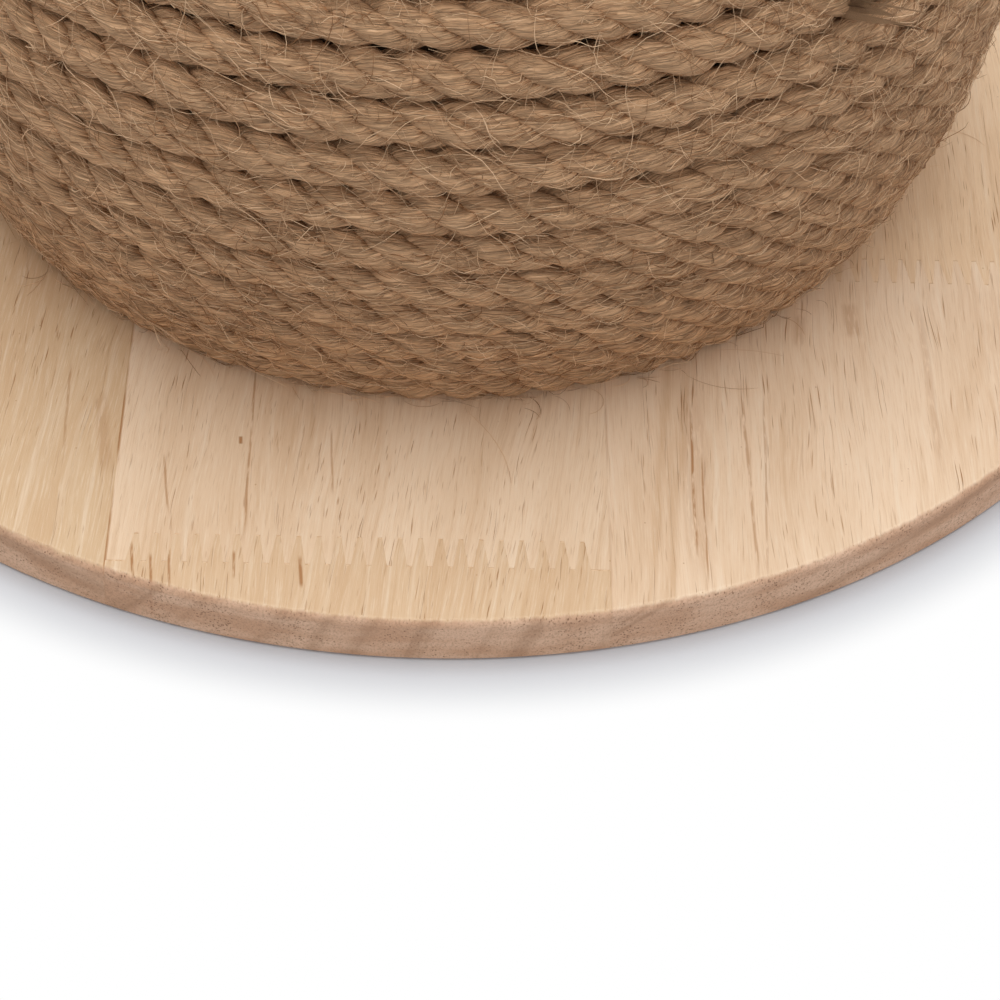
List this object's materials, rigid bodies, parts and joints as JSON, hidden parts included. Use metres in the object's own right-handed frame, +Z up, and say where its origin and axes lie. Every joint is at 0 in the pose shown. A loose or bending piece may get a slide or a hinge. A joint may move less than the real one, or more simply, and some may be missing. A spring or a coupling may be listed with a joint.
{
  "type": "cat scratching ball",
  "caption": "Ball closely wound with twisted jute rope and fixed on a round flat board of pale wood, for a cat to scratch.",
  "frame": {"origin": "centre of the board's underside", "axes": "+Z up through the ball's pole; -Y the front as pictured; the board's grain runs along Y"},
  "size_m": [0.32, 0.32, 0.1905],
  "materials": {
    "rubberwood": "sanded and oiled",
    "core_plastic": "moulded, as it left the tool",
    "zinc_steel": "zinc plated",
    "jute": "twisted natural fibre"
  },
  "bodies": {
    "root": {"base_stave_left": "rubberwood", "base_stave_middle_front": "rubberwood", "base_stave_middle_rear": "rubberwood", "base_stave_right_front": "rubberwood", "base_stave_right_rear": "rubberwood", "base_stave_far_right": "rubberwood", "core_lower_shell": "core_plastic", "core_upper_shell": "core_plastic", "base_screws": "zinc_steel", "rope_winding": "jute"}
  },
  "joints": []
}
